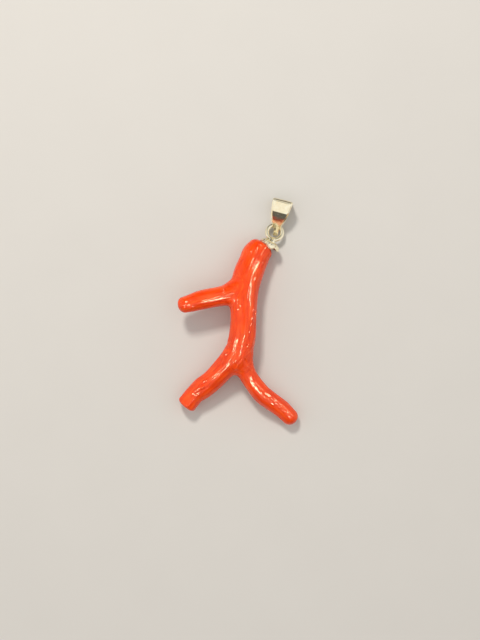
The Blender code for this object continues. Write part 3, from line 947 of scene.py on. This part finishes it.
class Shading:
    """The nodes of one material or world, and short ways to add to them."""

    def __init__(self, owner):
        owner.use_nodes = True
        self.nodes = owner.node_tree.nodes
        self.links = owner.node_tree.links

    def fill(self, node, linked, plain):
        """Links some of a node's sockets and sets others."""
        for name, source in linked.items():
            self.links.new(source, node.inputs[name])
        for name, value in plain.items():
            node.inputs[name].default_value = value
        return node

    def add(self, kind, linked, plain):
        return self.fill(self.nodes.new(kind), linked, plain)

    def place(self):
        return self.nodes.new("ShaderNodeTexCoord").outputs["Object"]

    def ramp(self, stops, source):
        """A ramp's colour for each value of a source."""
        made = self.add("ShaderNodeValToRGB", {"Fac": source}, {})
        while len(made.color_ramp.elements) < len(stops):
            made.color_ramp.elements.new(0.5)
        for element, (at, colour) in zip(made.color_ramp.elements, stops):
            element.position = at
            element.color = (*colour, 1.0)
        return made.outputs["Color"]

    def scaled(self, source, scale):
        return self.add("ShaderNodeMapping", {"Vector": source}, {"Scale": scale}).outputs["Vector"]

    def noise(self, vector, settings):
        plain = dict(zip(("Scale", "Detail", "Roughness"), settings))
        return self.add("ShaderNodeTexNoise", {"Vector": vector}, plain).outputs["Fac"]

    def multiplied(self, a, b):
        """One colour times another."""
        made = self.nodes.new("ShaderNodeMix")
        made.data_type = "RGBA"
        made.blend_type = "MULTIPLY"
        return self.fill(made, {COLOUR_A: a, COLOUR_B: b}, {"Factor": 1.0}).outputs[COLOUR_OUT]

    def bump(self, height, settings, **under):
        """Bumps of a height, over the Normal of others where that is given."""
        plain = dict(zip(("Distance", "Strength"), settings))
        return self.add("ShaderNodeBump", {"Height": height, **under}, plain).outputs["Normal"]

    def eased(self, value, reach, to_low=0.0, to_high=1.0):
        """One value to another, as a source goes smoothly over its reach."""
        plain = dict(zip(("From Min", "From Max", "To Min", "To Max"), (*reach, to_low, to_high)))
        made = self.add("ShaderNodeMapRange", {"Value": value}, plain)
        made.interpolation_type = "SMOOTHSTEP"
        return made.outputs["Result"]

    def combined(self, operation, a, b):
        """Two values put together, of which either may be a plain number."""
        made = self.nodes.new("ShaderNodeMath")
        made.operation = operation
        for socket, value in zip(made.inputs, (a, b)):
            if isinstance(value, float):
                socket.default_value = value
            else:
                self.links.new(value, socket)
        return made.outputs["Value"]


def finished(name, shade):
    """A material whose shader is linked and set as a function of its nodes says."""
    made = bpy.data.materials.new(name)
    tree = Shading(made)
    tree.fill(tree.nodes["Principled BSDF"], *shade(tree))
    return made


def shade_coral(tree):
    grain = tree.nodes.new("ShaderNodeAttribute")
    grain.attribute_name = "grain"
    place = tree.place()
    hairs = tree.scaled(grain.outputs["Vector"], HAIR_STRETCH)
    band = tree.noise(tree.scaled(grain.outputs["Vector"], BAND_STRETCH), CORAL_BANDS)
    base = tree.ramp(CORAL_RED, band)
    for noises, tones in ((CORAL_CLOUDS, CORAL_CLOUDY), (CORAL_SPECKS, CORAL_SPECKLED)):
        base = tree.multiplied(base, tree.ramp(tones, tree.noise(place, noises)))
    normal = tree.bump(tree.noise(hairs, CORAL_HAIRS), HAIR_BUMP)
    normal = tree.bump(tree.noise(place, CORAL_PITS), PIT_BUMP, Normal=normal)
    rough = tree.ramp(CORAL_ROUGHNESS, band)
    return {"Base Color": base, "Roughness": rough, "Normal": normal}, CORAL_POLISH


def shade_metal(tree):
    place = tree.place()
    gold = tree.ramp(METAL_GOLD, tree.noise(place, METAL_TONES))
    wear = tree.noise(place, METAL_WEAR)
    rough = tree.ramp(METAL_ROUGHNESS, wear)
    normal = tree.bump(tree.noise(place, METAL_WAVES), WAVE_BUMP)
    normal = tree.bump(wear, WEAR_BUMP, Normal=normal)
    return {"Base Color": gold, "Roughness": rough, "Normal": normal}, {"Metallic": 1.0}


def shade_table(tree):
    darker = tuple(TABLE_SHADE * c for c in TABLE_COLOUR)
    tones = tree.noise(tree.place(), TABLE_TONES)
    shades = tree.ramp(((0.3, darker), (0.7, TABLE_COLOUR)), tones)
    return {"Base Color": shades}, {"Roughness": TABLE_ROUGHNESS}


# Stage

def table():
    bm = bmesh.new()
    bmesh.ops.create_grid(bm, x_segments=1, y_segments=1, size=TABLE_HALF)
    mesh = bpy.data.meshes.new("table")
    bm.to_mesh(mesh)
    bm.free()
    mesh.materials.append(finished("pale_table", shade_table))
    made = bpy.data.objects.new("table", mesh)
    bpy.context.scene.collection.objects.link(made)
    made.location.z = -TABLE_DROP


def area_light(name, place, long_axis, width, length, watts, colour):
    """A light that faces the pendant, with its length along an axis. Places are in millimetres."""
    data = bpy.data.lights.new(name, "AREA")
    data.shape = "RECTANGLE"
    data.size, data.size_y = width, length
    data.energy = watts
    data.color = colour
    made = bpy.data.objects.new(name, data)
    bpy.context.scene.collection.objects.link(made)
    back = unit(place - LAMP_AIM)
    upright = unit(long_axis - (long_axis @ back) * back)
    turn = Matrix(np.column_stack([np.cross(upright, back), upright, back]).tolist())
    made.matrix_world = Matrix.Translation(Vector(place * MM)) @ turn.to_4x4()
    return made


def studio_room():
    """A room that is bright above and to both sides, with a painted reflection of the coral low on its
    near side.
    """
    world = bpy.data.worlds.new("studio")
    bpy.context.scene.world = world
    tree = Shading(world)
    out = tree.nodes.new("ShaderNodeTexCoord").outputs["Generated"]
    way = tree.add("ShaderNodeSeparateXYZ", {"Vector": out}, {})
    x, y, z = (way.outputs[axis] for axis in "XYZ")

    side = tree.eased(tree.combined("ABSOLUTE", x, 0.0), SIDES_FROM)
    side = tree.combined("MULTIPLY", side, SIDE_WALLS - FAR_WALL)
    wall = tree.combined("ADD", tree.eased(y, NEAR_TO_FAR, NEAR_WALL, FAR_WALL), side)
    above = tree.eased(z, CEILING_FROM)
    wall = tree.combined("MULTIPLY", wall, tree.combined("SUBTRACT", 1.0, above))
    ceiling = tree.eased(y, FAR_CEILING_FROM, CEILING, FAR_CEILING)
    ceiling = tree.combined("MULTIPLY", ceiling, tree.eased(z, OVERHEAD_FROM, 1.0, OVERHEAD))
    ceiling = tree.combined("MULTIPLY", above, ceiling)
    strength = tree.combined("ADD", wall, ceiling)
    room = tree.add("ShaderNodeBackground", {"Strength": strength}, {"Color": ROOM_COLOUR})

    # A painted reflection of the coral: a patch of the room in tan and the coral's lit and shaded reds,
    # low on the near side, which the bail's front shows
    painted_reflection = tree.fill(tree.nodes["Background"], {"Color": tree.ramp(PAINTED_CORAL_REFLECTION_COLOURS, z)}, {})
    painted_reflection_mask = tree.combined("MULTIPLY", tree.eased(z, PAINTED_REFLECTION_BOTTOM), tree.eased(z, PAINTED_REFLECTION_TOP, 1.0, 0.0))
    painted_reflection_mask = tree.combined("MULTIPLY", painted_reflection_mask, tree.eased(y, PAINTED_REFLECTION_SIDE, 1.0, 0.0))
    looks = {"Fac": painted_reflection_mask, 1: room.outputs["Background"], 2: painted_reflection.outputs["Background"]}
    both = tree.add("ShaderNodeMixShader", looks, {})
    tree.fill(tree.nodes["World Output"], {"Surface": both.outputs["Shader"]}, {})


def studio(coral):
    """The room, the strip lamps that only the coral's polish shows, and the lamp that lights all."""
    studio_room()
    polished = bpy.data.collections.new("polished_by_strips")
    polished.objects.link(coral)
    for name, (first, last, strength) in LAMPS.items():
        first, last = np.array(first, float), np.array(last, float)
        length = float(np.linalg.norm(last - first)) * MM
        watts = LAMP_POWER * strength * length * LAMP_WIDTH
        place = (first + last) / 2
        strip = area_light(name, place, last - first, LAMP_WIDTH, length, watts, STRIP_COLOUR)
        strip.visible_diffuse = False
        strip.light_linking.receiver_collection = polished
    along_x = np.array((1.0, 0.0, 0.0))
    soft = area_light("soft_lamp", SOFT_PLACE, along_x, SOFT_SIZE, SOFT_SIZE, SOFT_WATTS, SOFT_COLOUR)
    soft.visible_glossy = False


def camera():
    data = bpy.data.cameras.new("camera")
    data.lens = CAMERA_LENS
    data.sensor_width = CAMERA_SENSOR
    data.clip_start, data.clip_end = CAMERA_CLIP
    made = bpy.data.objects.new("camera", data)
    bpy.context.scene.collection.objects.link(made)
    made.location = Vector(CAMERA_PLACE * MM)
    bpy.context.scene.camera = made


def main():
    bpy.context.scene.view_settings.view_transform = "Standard"
    coral = coral_skin(finished("polished_red_coral", shade_coral))
    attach(coral, "pendant")
    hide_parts("stem", "side_branch", "left_branch", "right_branch")
    metal = finished("pale_gold_plate", shade_metal)
    for made, body, node in (
        (bell_cap(metal), "pendant", "cap"),
        (soldered_ring(metal), "pendant", "ring"),
        (folded_bail(metal), "bail", "bail"),
    ):
        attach(made, body)
        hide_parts(node)
    table()
    studio(coral)
    camera()


main()
